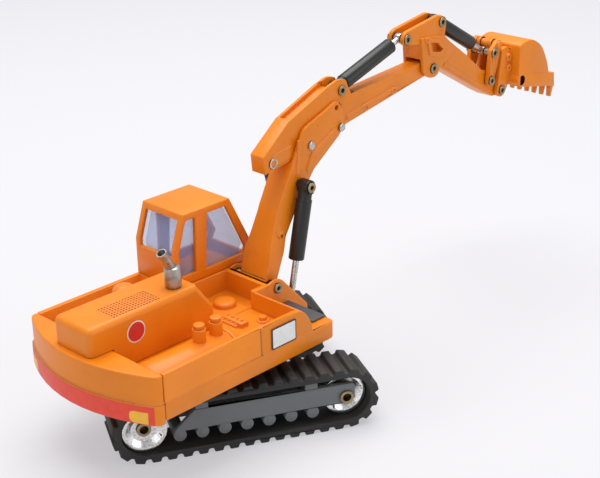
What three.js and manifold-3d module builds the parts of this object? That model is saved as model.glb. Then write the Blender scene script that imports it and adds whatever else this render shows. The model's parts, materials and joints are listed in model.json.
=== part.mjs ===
// Die-cast toy crawler excavator, about 1:50, in millimetres.
// +X runs forward along the superstructure and the arm, +Y to the left, +Z up.
// The model is laid out from the slewing axis on the ground and then stood on its bounding box.
import * as THREE from "three";
import { mergeVertices } from "three/addons/utils/BufferGeometryUtils.js";
import Module from "manifold-3d";

const wasm = await Module();
wasm.setup();

// ---------------------------------------------------------------- clearances
const fit = 0.15; // between pieces fixed to each other
const run = 0.3; // between pieces that move past each other

// ---------------------------------------------------------------- undercarriage
const slewAtRest = THREE.MathUtils.degToRad(-28.5); // tracks point right of the arm
const track = {
  halfBase: 27.1, // slewing axis to a wheel axle
  inner: 14, // belt edge nearest the middle
  width: 12,
  wheelRadius: 5.9,
  web: 1.4, // belt thickness between grousers
  grouser: 1.2, // grouser height
  grousers: 38,
};
const sideFrame = {
  outerFace: 24.6,
  innerFace: 15.4,
  plate: 1.4,
  bottom: 7,
  top: 12.6,
  rearTop: -14, // where the chamfer towards the rear wheel starts
  rearBottom: -19.6,
  frontOverhang: 2.4, // past the front axle
  post: 3.4, // carrier post, along the track
  postAt: [-12, 17.5],
};
const roller = { count: 7, first: -18, pitch: 5.96, z: 5.8, radius: 1.7, hub: 0.75, hubProud: 0.25 };
const axle = { radius: 1.5, bore: 1.15, flange: 1.9, flangeThick: 0.4 };
const carbody = { halfLength: 15, bottom: 8, top: 13.5, corner: 7, pedestal: 12 };
const slewRivet = { radius: 2, head: 3.4, headThick: 0.9, boss: 12.5 };

// ---------------------------------------------------------------- superstructure
const body = {
  halfWidth: 25,
  rear: -41.6, // joint between deck and counterweight
  nose: 17.9,
  bottom: 21.3,
  floor: 27.5, // top of the tub's floor
  floorThick: 1.5,
  step: 26.1, // top of the nose and of the side skirt
  top: 33.7,
  wall: 1.4,
  skirtProud: 0.3,
  frontTop: 6.1, // front wall's outer face at its top edge
  frontFoot: 9.4, // and at the step
  centreWall: 10.6, // outer face of the front wall between the ears
  panelSplit: -9.1,
};
const ear = { inner: 7.4, outer: 8.1, tip: 25.2, tipTop: 23, floor: 22.3 };
const weight = { depth: 8.9, bottom: 20.5, ridge: 26.3, bandProud: 0.35, corner: 2 };
const hood = {
  wall: 1.3,
  rear: -48.5,
  front: -13.4,
  right: -6.4,
  left: 7.9,
  top: 41.3,
  slopeFoot: -8.6,
  slopeFootTop: 34.8,
};
const vent = {
  first: -38.6,
  last: -24.8,
  right: -4.7,
  left: 1.3,
  rows: 5,
  columns: 12,
  hole: 0.45,
  depth: 0.7,
};
const cab = {
  right: 8.3,
  left: 24.6,
  wall: 1.1,
  glass: 0.7,
  rear: -8,
  knee: 44.2,
  roofRear: -4.7,
  roofFront: 12,
  roof: 54.1,
};
const cabNose = { knee: 19.9, kneeTop: 38.6, foot: 17.4 };
const bay = { left: 3.6, thick: 0.8 }; // bed of the engine bay casting
const tank = { rear: -40.6, front: -9, y: -14.8, z: 24.2, radius: 7 };
const filler = { at: [-21, -15.4], radius: 1.8, cap: 1.3, height: 5 };
const swivelCap = { x: 1.2, y: -0.2, radius: 3.3, height: 2.3, edge: 0.6 };
const valve = { rear: -5.6, front: -3, right: -13.8, left: -6.6, height: 2.2, spool: 0.4 };
const gearbox = { x: 1.2, y: -14.8, radius: 1.9, height: 1.4, top: 1.05 };
const exhaust = { x: -18, y: -2.2, radius: 2.2, height: 5.6, pipe: 1.1, lean: -3.6, rise: 5.2 };
const stepPlate = { rear: 12.6, right: -22, thick: 0.5 };

// ---------------------------------------------------------------- arm: pivots as [x, z]
const footPin = [13.6, 31.7];
const bolts = [[31.8, 66.8], [44.1, 69]];
const spareHole = [42.6, 74.9];
const boomCylinderPin = [27.3, 56.9];
const boomRodPin = [20.4, 25.2];
const tailEyelet = [18.6, 64.8];
const hoseLug = [19.6, 44];
const stickCylinderPin = [45.9, 78.9];
const stickPin = [84.7, 77.1];
const stickRodPin = [73.4, 87.8];
const bucketCylinderPin = [89.4, 90];
const rockerPin = [112.8, 67.2];
const bucketRodPin = [113.7, 75.9];
const linkPin = [116, 78];
const tipPin = [118.4, 63];
const bucketLinkPin = [121, 73.1];

const rivet = { radius: 1.1, bore: 0.65, flangeLap: 0.4, flangeThick: 0.35 };
rivet.flange = rivet.radius + rivet.flangeLap;
const boom = {
  foot: 5,
  shoulder: 4.3,
  waist: 3.7,
  upper: 2.5,
  footTo: 39.8,
  shoulderAt: 43.8,
  waistFrom: 50,
};
const stick = { half: 2.9, cheek: 3.8 };
const rocker = { inner: 3.2, outer: 4.6, end: rivet.radius + 0.5, tube: 1.2, tubeProud: 0.5 };
const link = { inner: 1.5, outer: 2.7, end: 1.7, farEnd: 1.3 };
const bucket = {
  half: 8,
  wall: 0.9,
  back: 122.7, // outer face of the back wall
  mouth: 63.7, // lower end of the back wall
  bandProud: 0.4, // cutting band along the mouth
  teeth: 6,
  tooth: 1.6,
  toothRoot: 59.4,
  toothDrop: 3.1,
};
const bucketEar = { inner: 3.2, outer: 4.6, boss: 0.45, spareHole: [121.2, 69.7] };
const bolt = { radius: 0.75, head: 1.25, headThick: 0.7 };

// Cylinders: barrel length from its pin, radii, half thickness of its eye, how far in the rod reaches.
const eyeHalf = 1.35;
const boomCylinder = {
  y: boom.waist + 2.2 + run, // clear of the boom's side by a running gap
  length: 20.7,
  radius: 2.2,
  bore: 1.4,
  rod: 0.9,
  eye: 1.5,
  half: 1.85,
  overlap: 8.6,
  neck: 3.8,
};
const stickCylinder = {
  y: 0,
  length: 24.6,
  radius: 2.2,
  bore: 1.4,
  rod: 0.9,
  eye: 1.5,
  half: eyeHalf,
  overlap: 19,
  neck: 3.4,
};
const bucketCylinder = {
  y: 0,
  length: 20.9,
  radius: 2.1,
  bore: 1.4,
  rod: 0.9,
  eye: 1.3,
  half: eyeHalf,
  overlap: 13,
  neck: 3.4,
};

// ---------------------------------------------------------------- finishes
const finish = (color, roughness, metalness) => new THREE.MeshStandardMaterial({
  color,
  roughness,
  metalness,
});
const paint = finish(0xe67a14, 0.4, 0);
const frameGrey = finish(0x66696b, 0.5, 0.1);
const rubber = finish(0x1e1d1b, 0.8, 0);
const black = finish(0x2a2a29, 0.45, 0);
const plateGrey = finish(0x4f4e52, 0.6, 0);
const alloy = finish(0xd6d2cd, 0.3, 1);
const brass = finish(0xa68c5a, 0.35, 1);
const steel = finish(0xb9b6b2, 0.3, 1);
const pewter = finish(0x8f8a80, 0.5, 0.9);
const glass = finish(0x9fb9ea, 0.1, 0);

// ---------------------------------------------------------------- solids
function solid(geometry) {
  geometry.deleteAttribute("normal");
  geometry.deleteAttribute("uv");
  const merged = mergeVertices(geometry, 1e-4);
  return new wasm.Manifold(
    new wasm.Mesh({
      numProp: 3,
      vertProperties: merged.getAttribute("position").array,
      triVerts: new Uint32Array(merged.index.array),
    }),
  );
}

const join = (...solids) => solids.reduce((a, b) => a.add(b));
const cut = (from, ...solids) => solids.reduce((a, b) => a.subtract(b), from);

function piece(group, name, shape, material) {
  const { vertProperties, triVerts } = shape.getMesh();
  const geometry = new THREE.BufferGeometry();
  geometry.setAttribute("position", new THREE.BufferAttribute(vertProperties, 3));
  geometry.setIndex(new THREE.BufferAttribute(triVerts, 1));
  geometry.computeVertexNormals();
  const mesh = new THREE.Mesh(geometry, material);
  mesh.name = name;
  group.add(mesh);
}

// A closed outline through corners [u, v, rounding].
function outline(corners) {
  const shape = new THREE.Shape();
  const count = corners.length;
  corners.forEach(([u, v, rounding = 0], i) => {
    const corner = new THREE.Vector2(u, v);
    const towards = (j) => {
      const edge = new THREE.Vector2(...corners[(j + count) % count].slice(0, 2)).sub(corner);
      return edge.setLength(Math.min(rounding, edge.length() / 2)).add(corner);
    };
    const before = towards(i - 1);
    const after = towards(i + 1);
    if (i === 0) shape.moveTo(before.x, before.y);
    else shape.lineTo(before.x, before.y);
    if (rounding) shape.quadraticCurveTo(u, v, after.x, after.y);
  });
  return shape;
}

const extrude = (shape, depth) => new THREE.ExtrudeGeometry(
  shape,
  { depth, bevelEnabled: false, curveSegments: 4 },
);

// An outline in X and Z, as thick as y0 to y1.
const side = (corners, y0, y1) =>
  solid(extrude(outline(corners), y1 - y0).rotateX(Math.PI / 2).translate(0, y1, 0));

// An outline in X and Y, as high as z0 to z1.
const plan = (corners, z0, z1) => solid(extrude(outline(corners), z1 - z0).translate(0, 0, z0));

// An outline in Y and Z, as long as x0 to x1.
const across = (corners, x0, x1) => {
  const turn = new THREE.Matrix4().makeBasis(
    new THREE.Vector3(0, 1, 0),
    new THREE.Vector3(0, 0, 1),
    new THREE.Vector3(1, 0, 0),
  );
  return solid(extrude(outline(corners), x1 - x0).applyMatrix4(turn).translate(x0, 0, 0));
};

const block = (x0, x1, y0, y1, z0, z1) =>
  solid(new THREE.BoxGeometry(x1 - x0, y1 - y0, z1 - z0).translate(
    (x0 + x1) / 2,
    (y0 + y1) / 2,
    (z0 + z1) / 2,
  ));

const rodY = ([x, z], radius, y0, y1, sides = 16) =>
  solid(new THREE.CylinderGeometry(radius, radius, y1 - y0, sides).translate(x, (y0 + y1) / 2, z));

const rodZ = (x, y, radius, z0, z1, sides = 24) =>
  solid(new THREE.CylinderGeometry(
    radius,
    radius,
    z1 - z0,
    sides,
  ).rotateX(Math.PI / 2).translate(x, y, (z0 + z1) / 2));

// The outline of a band pulled tight around circles [x, z, radius].
function around(circles, steps = 32) {
  return Array.from({ length: steps }, (_, i) => {
    const angle = (i / steps) * 2 * Math.PI;
    const [u, v] = [Math.cos(angle), Math.sin(angle)];
    const reach = ([x, z, radius]) => x * u + z * v + radius;
    const [x, z, radius] = circles.reduce((a, b) => (reach(b) > reach(a) ? b : a));
    return [x + radius * u, z + radius * v];
  });
}

// A hollow rivet along Y with a rolled flange at each end.
function hollowRivet(at, half, size = rivet) {
  const shank = rodY(at, size.radius, -half, half);
  const flanges = [-1, 1].map((end) => {
    const near = end * half;
    const far = end * (half + size.flangeThick);
    return rodY(at, size.flange, Math.min(near, far), Math.max(near, far));
  });
  const bore = rodY(at, size.bore, -half - 1, half + 1);
  return cut(join(shank, ...flanges), bore);
}

const mirrorY = (low, high, left) => (left ? [low, high] : [-high, -low]);

// ================================================================ undercarriage
const undercarriage = new THREE.Group();
const belt = {
  inside: track.wheelRadius + run,
  outside: track.wheelRadius + run + track.web,
};
const axleZ = belt.outside + track.grouser;

// A point of the belt's run at a length along it, pushed out from its centre line by a radius.
function alongBelt(length, radius) {
  const straight = 2 * track.halfBase;
  const arc = Math.PI * belt.outside;
  const lap = 2 * (straight + arc);
  let s = ((length % lap) + lap) % lap;
  if (s < straight) return [s - track.halfBase, axleZ - radius];
  s -= straight;
  if (s < arc) {
    const angle = s / belt.outside - Math.PI / 2;
    return [track.halfBase + radius * Math.cos(angle), axleZ + radius * Math.sin(angle)];
  }
  s -= arc;
  if (s < straight) return [track.halfBase - s, axleZ + radius];
  const angle = (s - straight) / belt.outside + Math.PI / 2;
  return [-track.halfBase + radius * Math.cos(angle), axleZ + radius * Math.sin(angle)];
}

function beltSolid(y0, y1) {
  const lap = 2 * (2 * track.halfBase + Math.PI * belt.outside);
  const pitch = lap / track.grousers;
  const halfCrest = 0.26 * pitch;
  const halfRoot = 0.36 * pitch;
  const corners = [];
  for (let i = 0; i < track.grousers; i++) {
    const middle = track.halfBase + i * pitch; // one grouser stands under the slewing axis
    corners.push(alongBelt(middle - halfRoot, belt.outside));
    corners.push(alongBelt(middle - halfCrest, belt.outside + track.grouser));
    corners.push(alongBelt(middle + halfCrest, belt.outside + track.grouser));
    corners.push(alongBelt(middle + halfRoot, belt.outside));
  }
  const hole = around(
    [-1, 1].map((end) => [end * track.halfBase, axleZ, belt.inside]),
    40,
  );
  return cut(side(corners, y0, y1), side(hole, y0 - 1, y1 + 1));
}

function wheelSolid(x, y0, y1, hubRadius) {
  const tread = rodY([x, axleZ], track.wheelRadius, y0, y1, 40);
  const dish = (from, to) =>
    solid(
      new THREE.CylinderGeometry(4.9, 3.4, Math.abs(to - from), 32)
        .rotateX(to > from ? 0 : Math.PI)
        .translate(x, (from + to) / 2, axleZ),
    );
  const bore = rodY([x, axleZ], hubRadius, y0 - 1, y1 + 1, 24);
  return cut(tread, dish(y0 + 1.2, y0 - 0.01).intersect(tread), dish(y1 - 1.2, y1 + 0.01), bore);
}

for (const left of [true, false]) {
  const hand = left ? "left" : "right";
  const span = (low, high) => mirrorY(low, high, left);
  const { outerFace, innerFace, plate, bottom, top } = sideFrame;

  piece(
    undercarriage,
    "track_belt_" + hand,
    beltSolid(...span(track.inner, track.inner + track.width)),
    rubber,
  );

  const outerPlate = side(
    [
      [sideFrame.rearBottom, bottom],
      [sideFrame.rearTop, top],
      [track.halfBase + sideFrame.frontOverhang, top, 1.2],
      [track.halfBase + sideFrame.frontOverhang, bottom, 2.2],
    ],
    ...span(outerFace - plate, outerFace),
  );
  const overhang = 3.2;
  const innerPlate = side(
    around([-1, 1].map((end) => [end * track.halfBase, (bottom + top) / 2, overhang])),
    ...span(innerFace, innerFace + plate),
  );
  const rollers = Array.from({ length: roller.count }, (_, i) => {
    const at = [roller.first + i * roller.pitch, roller.z];
    return join(
      rodY(at, roller.radius, ...span(innerFace + 0.2, outerFace), 16),
      rodY(at, roller.hub, ...span(outerFace - 0.1, outerFace + roller.hubProud), 10),
    );
  });
  const posts = sideFrame.postAt.map((x) =>
    block(
      x - sideFrame.post / 2,
      x + sideFrame.post / 2,
      ...span(innerFace + 0.2, outerFace - 0.2),
      top - 3,
      axleZ + belt.inside - run,
    ),
  );
  const axleHoles = [-1, 1].map((end) =>
    rodY([end * track.halfBase, axleZ], axle.radius + fit, ...span(innerFace - 1, outerFace + 1), 24),
  );
  const frame = cut(join(outerPlate, innerPlate, ...rollers, ...posts), ...axleHoles);
  piece(undercarriage, "track_frame_" + hand, frame, frameGrey);

  const wheelInner = innerFace + plate + run;
  const faces = { rear: outerFace - 0.2, front: outerFace - plate - run };
  for (const end of ["rear", "front"]) {
    const x = end === "rear" ? -track.halfBase : track.halfBase;
    piece(
      undercarriage,
      end + "_wheel_" + hand,
      wheelSolid(x, ...span(wheelInner, faces[end]), axle.radius + run),
      alloy,
    );
    const reach = end === "rear" ? faces.rear - 1 : outerFace + fit;
    const flange = rodY([x, axleZ], axle.flange, ...span(reach, reach + axle.flangeThick), 24);
    const shank = rodY([x, axleZ], axle.radius, ...span(innerFace, reach + 0.1), 24);
    const bore = rodY([x, axleZ], axle.bore, ...span(innerFace - 1, outerFace + 2), 24);
    const tube = cut(join(shank, flange), bore);
    piece(undercarriage, end + "_axle_" + hand, tube, brass);
  }
}

const frameGap = sideFrame.innerFace - fit;
const carbodyPlan = [
  [-carbody.halfLength, -frameGap, 3],
  [carbody.halfLength, -frameGap, 3],
  [carbody.halfLength, frameGap, 3],
  [-carbody.halfLength, frameGap, 3],
];
const pedestalTop = body.bottom - run;
piece(
  undercarriage,
  "carbody",
  cut(
    join(
      plan(carbodyPlan, carbody.bottom, carbody.top),
      rodZ(0, 0, carbody.pedestal, carbody.top - 0.5, pedestalTop, 40),
    ),
    rodZ(0, 0, slewRivet.radius + run, 0, 40),
  ),
  frameGrey,
);
undercarriage.rotation.z = slewAtRest;

// ================================================================ superstructure
const superstructure = new THREE.Group();
const W = body.halfWidth;

const stemTop = body.floor - body.floorThick; // the slewing rivet ends blind in the deck's boss

// Deck casting: tub with a raised rim, sloped front wall, nose, cab base and the two arm ears.
function deck() {
  const skirt = plan(
    [
      [body.rear, -W - body.skirtProud],
      [body.nose, -W - body.skirtProud, 2],
      [body.nose, W + body.skirtProud, 2],
      [body.rear, W + body.skirtProud],
    ],
    body.bottom,
    body.step,
  );
  const rim = side(
    [
      [body.rear, body.step - 1],
      [body.rear, body.top],
      [body.frontTop, body.top, 3],
      [body.frontFoot, body.step + 2, 1],
      [body.frontFoot, body.step - 1],
    ],
    -W,
    W,
  );
  const centre = block(body.frontTop - 2, body.centreWall, -ear.outer, W, body.step - 1, body.top);
  const cabBase = block(cab.rear, body.nose, cab.right - 0.5, W, body.step - 1, body.top);
  const tub = join(
    block(
      body.rear - 1,
      body.frontTop - body.wall,
      -W + body.wall,
      W - body.wall,
      body.floor,
      body.top + 5,
    ),
    block(
      body.frontTop - 3,
      body.centreWall - body.wall,
      -ear.outer + body.wall,
      cab.right - 0.5,
      body.floor,
      body.top + 5,
    ),
  );
  const armWell = block(
    body.centreWall,
    body.nose + 5,
    -ear.outer,
    cab.right - 0.5,
    ear.floor,
    body.top + 5,
  );
  const earSide = [
    [body.centreWall - 0.5, body.bottom],
    [body.centreWall - 0.5, body.top, 1],
    [footPin[0] - 1, footPin[1] + 2.9, 1.4],
    [footPin[0] + 1.6, footPin[1] + 2.2, 1.6],
    [ear.tip, ear.tipTop, 0.6],
    [ear.tip, body.bottom],
  ];
  const ears = [false, true].map((left) => side(earSide, ...mirrorY(ear.inner, ear.outer, left)));
  const tongue = block(body.nose - 2, ear.tip, -ear.outer, ear.outer, body.bottom, ear.floor);
  const underside = block(
    body.rear + body.wall,
    body.frontTop,
    -W + body.wall,
    W - body.wall,
    body.bottom - 1,
    body.floor - body.floorThick,
  );
  const groove = block(
    body.panelSplit - 0.25,
    body.panelSplit + 0.25,
    -W - 1,
    -W + 0.3,
    body.step,
    body.top + 1,
  );
  const shell = join(cut(join(skirt, rim, centre), cut(tub, cabBase)), cabBase);
  return cut(
    join(cut(shell, armWell), tongue, ...ears),
    groove,
    cut(underside, rodZ(0, 0, slewRivet.boss, body.bottom, body.top)),
    rodY(footPin, rivet.radius + fit, -20, 20),
    ...[false, true].map((left) => rodY(
      footPin,
      rivet.flange + run,
      ...mirrorY(ear.outer, ear.outer + 1.4, left),
    )),
    rodZ(0, 0, slewRivet.radius + fit, 0, stemTop + fit),
  );
}
piece(superstructure, "deck", deck(), paint);

const headTop = carbody.bottom - run;
piece(
  superstructure,
  "slew_rivet",
  join(
    rodZ(0, 0, slewRivet.head, headTop - slewRivet.headThick, headTop),
    rodZ(0, 0, slewRivet.radius, headTop - 0.1, stemTop),
  ),
  steel,
);

// Counterweight: a thick plate with a bowed back, its lower band standing slightly proud.
function counterweightPlan(proud) {
  const front = body.rear - fit;
  const bow = 12;
  const back = Array.from({ length: bow + 1 }, (_, i) => {
    const y = (2 * i) / bow - 1;
    return [
      front - weight.depth - proud + (weight.depth - 1.9) * y * y,
      (W + proud) * -y,
      i % bow ? 0 : weight.corner,
    ];
  });
  return [...back, [front, -W - proud], [front, W + proud]];
}
piece(
  superstructure,
  "counterweight",
  join(
    plan(counterweightPlan(0), weight.ridge - 1, body.top),
    plan(counterweightPlan(weight.bandProud), weight.bottom, weight.ridge),
  ),
  paint,
);

// Engine hood: a box with a sloped front, stepped over the counterweight, and a grid of vent holes.
function hoodSolid() {
  const foot = body.top + fit;
  const overDeck = side(
    [
      [hood.rear, foot],
      [hood.rear - 0.2, hood.top, 1.2],
      [hood.front, hood.top, 1.6],
      [hood.slopeFoot, hood.slopeFootTop, 0.5],
      [hood.slopeFoot, body.floor + fit],
      [body.rear + run, body.floor + fit],
      [body.rear + run, foot],
    ],
    hood.right,
    hood.left,
  );
  const section = across(
    [
      [hood.right, body.floor - 1],
      [hood.right, hood.top + 0.1, 1.6],
      [hood.left, hood.top + 0.1, 1.6],
      [hood.left, body.floor - 1],
    ],
    hood.rear - 2,
    hood.slopeFoot + 2,
  );
  const holes = [];
  for (let row = 0; row < vent.rows; row++) {
    for (let column = 0; column < vent.columns; column++) {
      const x = vent.first + ((vent.last - vent.first) * column) / (vent.columns - 1);
      const y = vent.right + ((vent.left - vent.right) * row) / (vent.rows - 1);
      holes.push(rodZ(x, y, vent.hole, hood.top - vent.depth, hood.top + 1, 4));
    }
  }
  const room = side(
    [
      [hood.rear + hood.wall, body.floor - 1],
      [hood.rear + hood.wall, hood.top - hood.wall],
      [hood.front - hood.wall, hood.top - hood.wall],
      [hood.slopeFoot - hood.wall, hood.slopeFootTop - hood.wall],
      [hood.slopeFoot - hood.wall, body.floor - 1],
    ],
    hood.right + hood.wall,
    hood.left - hood.wall,
  );
  return cut(overDeck.intersect(section), room, ...holes);
}
piece(superstructure, "engine_hood", hoodSolid(), paint);

// Round cap over the slewing joint, its top edge chamfered.
function capSolid(bed) {
  const { x, y, radius, height, edge } = swivelCap;
  const profile = [[0, 0], [radius, 0], [radius, height - edge], [radius - edge, height], [0, height]];
  const turned = new THREE.LatheGeometry(profile.map(([u, v]) => new THREE.Vector2(u, v)), 28);
  return solid(turned.rotateX(Math.PI / 2).translate(x, y, bed));
}

// Engine bay casting on the tub's floor: fuel tank with two fillers, valve block, drum and gearbox.
function engineBay() {
  const bed = body.floor + fit;
  const front = body.frontTop - body.wall - fit;
  const right = block(tank.front - 1, front, -W + body.wall + fit, hood.right - fit, bed, bed + bay.thick);
  const left = block(hood.slopeFoot + run, front, hood.right - 1, bay.left, bed, bed + bay.thick);
  const tankLow = block(tank.rear, tank.front, tank.y - tank.radius - 1, tank.y + tank.radius, bed, 60);
  const barrel = solid(
    new THREE.CylinderGeometry(tank.radius, tank.radius, tank.front - tank.rear, 36)
      .rotateZ(Math.PI / 2)
      .translate((tank.rear + tank.front) / 2, tank.y, tank.z),
  ).intersect(tankLow);
  const crown = tank.z + tank.radius;
  const fillers = filler.at.map((x) =>
    join(
      rodZ(x, tank.y, filler.radius, crown - 1, crown + filler.height - 0.4, 20),
      rodZ(x, tank.y, filler.cap, crown, crown + filler.height, 20),
    ),
  );
  const valveTop = bed + valve.height;
  const spools = [0.2, 0.4, 0.6, 0.8].map((share) => {
    const y = valve.right + (valve.left - valve.right) * share;
    return rodZ((valve.rear + valve.front) / 2, y, valve.spool, valveTop - 0.2, valveTop + 0.5, 8);
  });
  return join(
    right,
    left,
    barrel,
    ...fillers,
    block(valve.rear, valve.front, valve.right, valve.left, bed, valveTop),
    ...spools,
    rodZ(gearbox.x, gearbox.y, gearbox.radius, bed, bed + gearbox.height, 20),
    rodZ(gearbox.x, gearbox.y, gearbox.top, bed, bed + gearbox.height + 1, 16),
    capSolid(bed),
  );
}
piece(superstructure, "engine_bay_casting", engineBay(), paint);
// Exhaust: a round silencer with a leaning tail pipe cut off level with the lean.
const pipeFoot = new THREE.Vector3(exhaust.x, exhaust.y, hood.top + exhaust.height - 1);
const pipeTip = new THREE.Vector3(
  exhaust.x + exhaust.lean,
  exhaust.y,
  hood.top + exhaust.height + exhaust.rise,
);
const pipeLine = new THREE.LineCurve3(pipeFoot, pipeTip);
const pipeEnd = new THREE.Shape().absarc(0, 0, exhaust.pipe, 0, 2 * Math.PI);
piece(
  superstructure,
  "exhaust",
  join(
    rodZ(exhaust.x, exhaust.y, exhaust.radius, hood.top + fit, hood.top + exhaust.height, 24),
    solid(new THREE.ExtrudeGeometry(pipeEnd, { steps: 1, extrudePath: pipeLine, curveSegments: 8 })),
  ),
  pewter,
);

// ---------------------------------------------------------------- cab
// Each edge of a convex outline moved inwards, except the last one, which is the open foot.
function inset(corners, distance) {
  const count = corners.length;
  const line = (i) => {
    const [a, b] = [corners[i], corners[(i + 1) % count]];
    const length = Math.hypot(b[0] - a[0], b[1] - a[1]);
    const normal = [(b[1] - a[1]) / length, -(b[0] - a[0]) / length];
    const shift = i === count - 1 ? -1 : distance;
    return { normal, offset: a[0] * normal[0] + a[1] * normal[1] + shift };
  };
  return corners.map((_, i) => {
    const [p, q] = [line((i + count - 1) % count), line(i)];
    const det = p.normal[0] * q.normal[1] - p.normal[1] * q.normal[0];
    return [
      (p.offset * q.normal[1] - q.offset * p.normal[1]) / det,
      (p.normal[0] * q.offset - q.normal[0] * p.offset) / det,
    ];
  });
}

const cabFoot = body.top + fit;
const cabSide = [
  [cab.rear, cabFoot],
  [cab.rear, cab.knee],
  [cab.roofRear, cab.roof],
  [cab.roofFront, cab.roof],
  [cabNose.knee, cabNose.kneeTop],
  [cabNose.foot, cabFoot],
];
const cabRoom = inset(cabSide, cab.wall);
const glassSide = inset(cabSide, cab.wall + fit);
const glassRoom = inset(cabSide, cab.wall + fit + cab.glass);
const sideWindows = [
  [[-6.6, 36.4], [-6.6, 43.6], [-3.8, 52.2, 1], [-0.5, 52.2], [-0.8, 36.4]],
  [[2.8, 36.2], [3.9, 52.2], [10.7, 52.2, 0.5], [17.6, 37.8], [16.6, 36.2]],
];
const endWindow = [
  [cab.right + cab.wall + 0.6, 42.3],
  [cab.right + cab.wall + 0.6, 52.3],
  [cab.left - cab.wall - 0.6, 52.3],
  [cab.left - cab.wall - 0.6, 42.3],
];
const frontWindow = endWindow.map(([y, z]) => [y, z < 50 ? 36.2 : z]);
const middle = (cab.rear + cab.roofFront) / 2;
piece(
  superstructure,
  "cab_shell",
  cut(
    side(cabSide, cab.right, cab.left),
    side(cabRoom, cab.right + cab.wall, cab.left - cab.wall),
    ...sideWindows.map((corners) => side(corners, cab.right - 1, cab.left + 1)),
    across(endWindow, cab.rear - 1, middle),
    across(frontWindow, middle, cabNose.knee + 2),
  ),
  paint,
);
const glassFoot = block(-30, 30, 0, 40, 0, cabFoot + 0.2);
piece(
  superstructure,
  "cab_glazing",
  cut(
    side(glassSide, cab.right + cab.wall + fit, cab.left - cab.wall - fit),
    side(glassRoom, cab.right + cab.wall + fit + cab.glass, cab.left - cab.wall - fit - cab.glass),
    glassFoot,
  ),
  glass,
);
piece(
  superstructure,
  "step_plate",
  block(
    stepPlate.rear,
    body.nose - 0.4,
    stepPlate.right,
    -ear.outer - fit,
    body.step + fit,
    body.step + fit + stepPlate.thick,
  ),
  plateGrey,
);
piece(superstructure, "boom_foot_rivet", hollowRivet(footPin, ear.outer + fit), brass);

// ================================================================ boom
const arm = new THREE.Group();

const upperSide = [
  [15.5, 62.3],
  [26.5, 63.9],
  [47, 68.6],
  [81.8, 74.9],
  [stickPin[0] + 1.4, stickPin[1] - 2.2, 1.4],
  [stickPin[0] + 2.2, stickPin[1] + 1.2, 1.4],
  [81.4, 79.4, 0.5],
  [50, 76.9],
  [48.6, 79.4],
  [47.8, 81.6, 1],
  [44.4, 82.4, 1.2],
  [39.8, 81],
  [24.8, 75],
  [15, 67.3],
];
const upperTop = upperSide.slice(10).map(([x, z]) => [x, z - 1.5]);

function lowerBoom() {
  const face = side(
    [
      [footPin[0] - 1.9, footPin[1] - 1],
      [12.4, 33.4],
      [14.1, 39.9],
      [18.8, 51.5],
      [23.8, 61],
      [29.3, 72, 1.5],
      [38.4, 75.3],
      [42.4, 77, 1.3],
      [45, 75.6, 1.3],
      [45.6, 69, 1.6],
      [43.4, 66.6],
      [33.3, 59.6],
      [31.2, 57],
      [21, 43.4],
      [17, 33.2],
      [footPin[0] + 2.2, footPin[1] - 1.2],
    ],
    -boom.foot,
    boom.foot,
  );
  const taper = [
    [boom.foot, 20],
    [boom.foot, boom.footTo],
    [boom.shoulder, boom.shoulderAt],
    [boom.waist, boom.waistFrom],
    [boom.waist, 90],
  ];
  const width = across([...taper, ...taper.map(([y, z]) => [-y, z]).reverse()], 0, 60);
  const slot = upperSide.slice(0, 3).map(([x, z]) => [x, z - run]);
  const fork = side([...slot, [60, 72], [60, 90], [10, 90]], -boom.upper - fit, boom.upper + fit);
  const footEye = rodY(footPin, 2.3, -boom.foot, boom.foot, 24);
  const lug = rodY(hoseLug, 1.2, -boom.shoulder - 0.1, boom.shoulder + 0.1, 16);
  return cut(
    join(face.intersect(width), footEye, lug),
    fork,
    rodY(footPin, rivet.radius + run, -10, 10),
    rodY(hoseLug, 0.5, -10, 10, 12),
    rodY(boomCylinderPin, rivet.radius + fit, -10, 10),
    ...bolts.map((at) => rodY(at, bolt.radius + fit, -10, 10)),
    rodY(spareHole, bolt.radius, -10, 10),
  );
}

function upperBoom() {
  const beam = side(upperSide, -boom.upper, boom.upper);
  const channel = side([...upperTop, [15, 90], [44, 90]], -1.6, 1.6);
  const channelEnds = block(25.5, 45, -2, 2, 60, 95);
  const earSlot = side(
    [[41.5, 85], [42.6, stickCylinderPin[1] - 2.5], [52, stickCylinderPin[1] - 2], [52, 85]],
    -eyeHalf - run,
    eyeHalf + run,
  );
  return cut(
    beam,
    channel.intersect(channelEnds),
    earSlot,
    rodY(stickCylinderPin, rivet.radius + fit, -10, 10),
    rodY(stickPin, rivet.radius + fit, -10, 10),
    rodY(tailEyelet, 1.2 + fit, -10, 10),
    ...bolts.map((at) => rodY(at, bolt.radius + fit, -10, 10)),
    ...[[55.5, 71.9], [67.4, 74]].map((at) => rodY(at, 0.7, -10, 10, 12)),
  );
}

piece(arm, "lower_boom", lowerBoom(), paint);
piece(arm, "upper_boom", upperBoom(), paint);
bolts.forEach((at, i) => {
  const face = boom.waist + fit;
  const ends = [-1, 1].map((end) => {
    const far = end * (face + bolt.headThick);
    return rodY(at, bolt.head, Math.min(end * face, far), Math.max(end * face, far), 6);
  });
  piece(
    arm,
    ["rear", "front"][i] + "_boom_bolt",
    join(rodY(at, bolt.radius, -face - 0.1, face + 0.1, 16), ...ends),
    steel,
  );
});
piece(
  arm,
  "boom_cylinder_rivet",
  hollowRivet(boomCylinderPin, boomCylinder.y + boomCylinder.half + fit),
  brass,
);
piece(arm, "stick_cylinder_rivet", hollowRivet(stickCylinderPin, boom.upper + fit), brass);
const eyelet = { radius: 1.2, bore: 0.9, flange: 1.5, flangeThick: 0.3 };
piece(arm, "tail_eyelet", hollowRivet(tailEyelet, boom.upper + fit, eyelet), steel);

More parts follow.
